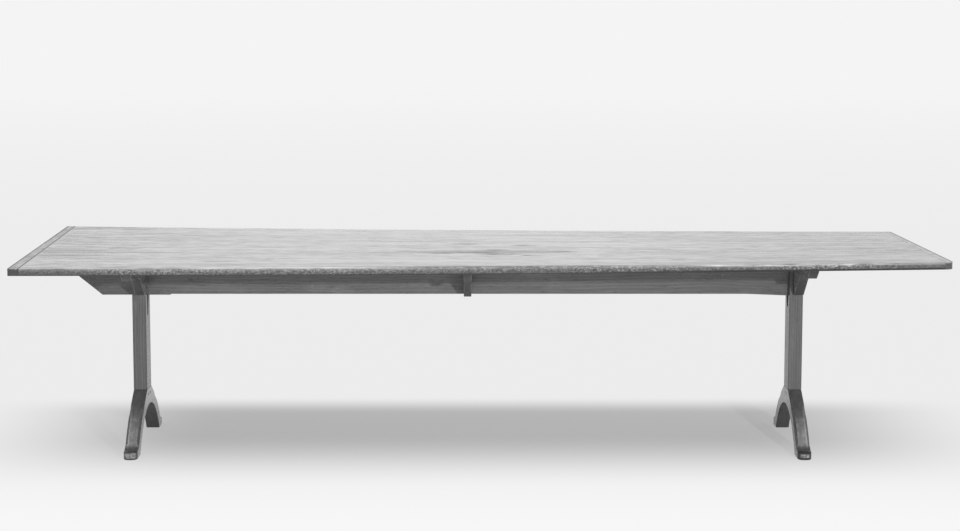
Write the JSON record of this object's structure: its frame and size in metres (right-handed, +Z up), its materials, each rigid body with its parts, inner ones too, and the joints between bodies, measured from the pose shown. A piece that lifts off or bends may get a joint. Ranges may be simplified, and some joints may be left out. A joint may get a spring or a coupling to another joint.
{
  "type": "dining table",
  "caption": "Long, narrow trestle table: thin plank top with end battens, shaped arms, rail under the top and posts on arched feet.",
  "frame": {"origin": "on the floor, under the middle of the table top", "axes": "+X along the table towards the end where the rail stops at the post, -Y towards the front long edge, +Z up"},
  "size_m": [3.1297, 0.864, 0.7155],
  "materials": {
    "top_wood": "satin, worn",
    "batten_wood": "satin, worn",
    "base_wood": "satin, stained dark",
    "foot_wood": "satin, stained dark",
    "peg_wood": "satin",
    "screw_steel": "dull"
  },
  "bodies": {
    "root": {"board_front": "top_wood", "board_middle": "top_wood", "board_back": "top_wood", "loose_tongue_front": "base_wood", "loose_tongue_back": "base_wood", "end_batten_left": "batten_wood", "end_batten_right": "batten_wood", "batten_pegs_left": "peg_wood", "batten_pegs_right": "peg_wood", "arm_left": "base_wood", "arm_right": "base_wood", "cleat_middle": "base_wood", "arm_pegs_left": "peg_wood", "arm_pegs_right": "peg_wood", "screws_arm_left": "screw_steel", "screws_arm_right": "screw_steel", "screws_cleat_middle": "screw_steel", "rail": "base_wood", "post_left": "base_wood", "post_right": "base_wood", "foot_left": "foot_wood", "foot_right": "foot_wood", "foot_pegs_left": "peg_wood", "foot_pegs_right": "peg_wood"}
  },
  "joints": []
}
